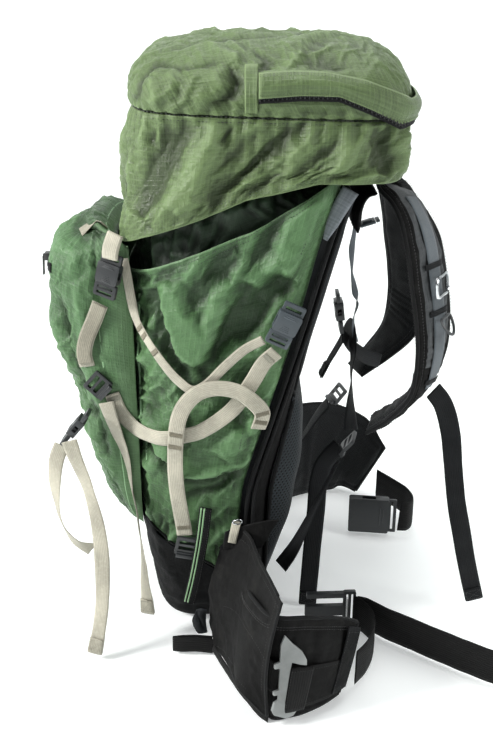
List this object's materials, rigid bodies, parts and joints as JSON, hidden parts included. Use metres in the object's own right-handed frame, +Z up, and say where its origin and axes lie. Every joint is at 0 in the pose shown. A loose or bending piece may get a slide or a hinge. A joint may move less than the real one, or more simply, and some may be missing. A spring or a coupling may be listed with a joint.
{
  "type": "hiking backpack",
  "caption": "Internal-frame trekking pack with stuffed floating lid, bowl-shaped front pocket, compression webbing, padded shoulder harness and hip belt lying open on the floor",
  "frame": {"origin": "middle of the box of the pack without its free webbing, on the floor that it stands on", "axes": "+Z is up; +X points from the front pocket through the back panel to the shoulder harness, the way the wearer faces; -Y is the wearer's right side"},
  "size_m": [0.671, 0.5958, 0.766],
  "materials": {
    "pack_cloth_green": "matte",
    "lid_cloth_olive": "matte",
    "pocket_cloth_green": "matte",
    "collar_cloth": "satin",
    "bottom_cloth": "matte",
    "harness_cloth": "matte",
    "air_mesh": "matte",
    "webbing_tan": "matte",
    "webbing_black": "matte",
    "webbing_grey": "matte",
    "buckle_black": "satin",
    "buckle_grey": "satin",
    "anchor_plastic": "satin",
    "ring_chrome": "polished",
    "stay_aluminium": "satin",
    "sheet_plastic": "satin"
  },
  "bodies": {
    "pack": {"bottom_panel": "bottom_cloth", "main_bag": "pack_cloth_green", "snow_collar": "collar_cloth", "front_pocket": "pocket_cloth_green", "frame_sheet": "sheet_plastic", "stay_near": "stay_aluminium", "stay_far": "stay_aluminium", "back_panel": "harness_cloth", "upper_back_pad": "air_mesh", "lumbar_pad": "air_mesh", "yoke": "harness_cloth", "shoulder_strap_near": "harness_cloth", "strap_runner_near": "webbing_grey", "shoulder_strap_far": "harness_cloth", "strap_runner_far": "webbing_grey", "shoulder_anchor_web_near": "webbing_black", "shoulder_anchor_web_far": "webbing_black", "lid_strap_near": "webbing_tan", "lid_strap_far": "webbing_tan", "side_tail": "webbing_tan", "compression_strap": "webbing_tan", "compression_buckle_female": "buckle_grey", "cross_strap": "webbing_tan", "down_strap": "webbing_tan", "front_buckle": "buckle_grey", "front_loop": "webbing_tan", "front_tail": "webbing_tan", "sternum_buckle_female": "buckle_grey", "sternum_strap": "webbing_black", "shoulder_tail": "webbing_black", "hanging_strap": "webbing_black", "draped_web": "webbing_black"},
    "lid": {"lid_skirt": "lid_cloth_olive", "lid_pocket": "lid_cloth_olive", "lid_buckle_female_near": "buckle_grey", "lid_buckle_female_far": "buckle_grey"},
    "lid_zip": {"lid_zip_slider": "buckle_black"},
    "pocket_zip": {"pocket_zip_slider": "buckle_black"},
    "lid_male_near": {"lid_buckle_male_near": "buckle_grey"},
    "lid_male_far": {"lid_buckle_male_far": "buckle_grey"},
    "compression_male": {"compression_buckle_male": "buckle_grey"},
    "sternum_male": {"sternum_buckle_male": "buckle_black"},
    "side_lock": {"side_adjuster": "buckle_grey"},
    "lower_lock": {"lower_adjuster": "buckle_grey"},
    "shoulder_lock_near": {"shoulder_adjuster_near": "buckle_black"},
    "shoulder_lock_far": {"shoulder_adjuster_far": "buckle_black"},
    "d_ring_near": {"d_ring_near": "buckle_grey"},
    "d_ring_far": {"d_ring_far": "buckle_grey"},
    "ring_near": {"runner_ring_near": "ring_chrome"},
    "ring_far": {"runner_ring_far": "ring_chrome"},
    "haul": {"haul_loop": "webbing_black"},
    "wing_near": {"hip_wing_near": "harness_cloth", "anchor_plate_near": "anchor_plastic", "belt_buckle_male": "buckle_black", "belt_web_near": "webbing_black", "belt_tail": "webbing_black"},
    "wing_far": {"hip_wing_far": "harness_cloth", "anchor_plate_far": "anchor_plastic", "belt_buckle_female": "buckle_black", "belt_web_far": "webbing_black"}
  },
  "joints": [
    {"name": "lid_hinge", "type": "hinge", "parent": "pack", "child": "lid", "pos_m": [0.18558, 0.0204, 0.603], "axis": [0, 1, 0], "range_deg": [0, 100]},
    {"name": "lid_zip_slide", "type": "slide", "parent": "lid", "child": "lid_zip", "axis": [1, 0, 0], "range_m": [0, 0.08]},
    {"name": "pocket_zip_slide", "type": "slide", "parent": "pack", "child": "pocket_zip", "axis": [0, 1, 0], "range_m": [0, 0.06]},
    {"name": "lid_buckle_near_release", "type": "slide", "parent": "pack", "child": "lid_male_near", "axis": [-0.2461, 0, -0.9693], "range_m": [0, 0.035], "deforming": ["lid_strap_near"]},
    {"name": "lid_buckle_far_release", "type": "slide", "parent": "pack", "child": "lid_male_far", "axis": [-0.2461, 0, -0.9693], "range_m": [0, 0.035], "deforming": ["lid_strap_far"]},
    {"name": "compression_buckle_release", "type": "slide", "parent": "pack", "child": "compression_male", "axis": [-0.431, 0.0201, -0.9021], "range_m": [0, 0.03], "deforming": ["compression_strap", "cross_strap"]},
    {"name": "sternum_buckle_release", "type": "slide", "parent": "pack", "child": "sternum_male", "axis": [0.1302, 0, -0.9915], "range_m": [0, 0.02], "deforming": ["sternum_strap"]},
    {"name": "side_lock_tilt", "type": "hinge", "parent": "pack", "child": "side_lock", "pos_m": [-0.18802, -0.0866, 0.356], "axis": [0.6467, -0.0995, 0.7562], "range_deg": [-25, 25]},
    {"name": "lower_lock_tilt", "type": "hinge", "parent": "pack", "child": "lower_lock", "pos_m": [-0.08082, -0.1206, 0.1435], "axis": [0.9796, 0.02, -0.1999], "range_deg": [-25, 25]},
    {"name": "shoulder_lock_near_tilt", "type": "hinge", "parent": "pack", "child": "shoulder_lock_near", "pos_m": [0.12858, -0.0596, 0.262], "axis": [0.2, 0.9798, 0], "range_deg": [-20, 4]},
    {"name": "shoulder_lock_far_tilt", "type": "hinge", "parent": "pack", "child": "shoulder_lock_far", "pos_m": [0.12858, 0.1004, 0.262], "axis": [0.2, -0.9798, 0], "range_deg": [-20, 20]},
    {"name": "d_ring_near_swing", "type": "hinge", "parent": "pack", "child": "d_ring_near", "pos_m": [0.23738, -0.0864, 0.444], "axis": [-0.5, -0.866, 0], "range_deg": [-15, 80]},
    {"name": "d_ring_far_swing", "type": "hinge", "parent": "pack", "child": "d_ring_far", "pos_m": [0.23738, 0.1272, 0.444], "axis": [0.5, -0.866, 0], "range_deg": [-15, 80]},
    {"name": "ring_near_slide", "type": "slide", "parent": "pack", "child": "ring_near", "axis": [-0.1033, 0.0596, 0.9929], "range_m": [-0.01, 0.01]},
    {"name": "ring_far_slide", "type": "slide", "parent": "pack", "child": "ring_far", "axis": [-0.1033, -0.0596, 0.9929], "range_m": [-0.01, 0.01]},
    {"name": "haul_loop_flop", "type": "hinge", "parent": "pack", "child": "haul", "pos_m": [0.12758, 0.0204, 0.6], "axis": [0, 1, 0], "range_deg": [-15, 60]},
    {"name": "hip_wing_near_swing", "type": "hinge", "parent": "pack", "child": "wing_near", "pos_m": [0.01758, -0.1106, 0.07], "axis": [0, 0, 1], "range_deg": [-12, 12]},
    {"name": "hip_wing_far_swing", "type": "hinge", "parent": "pack", "child": "wing_far", "pos_m": [0.02158, 0.1514, 0.08], "axis": [0, 0, -1], "range_deg": [-12, 12]}
  ]
}
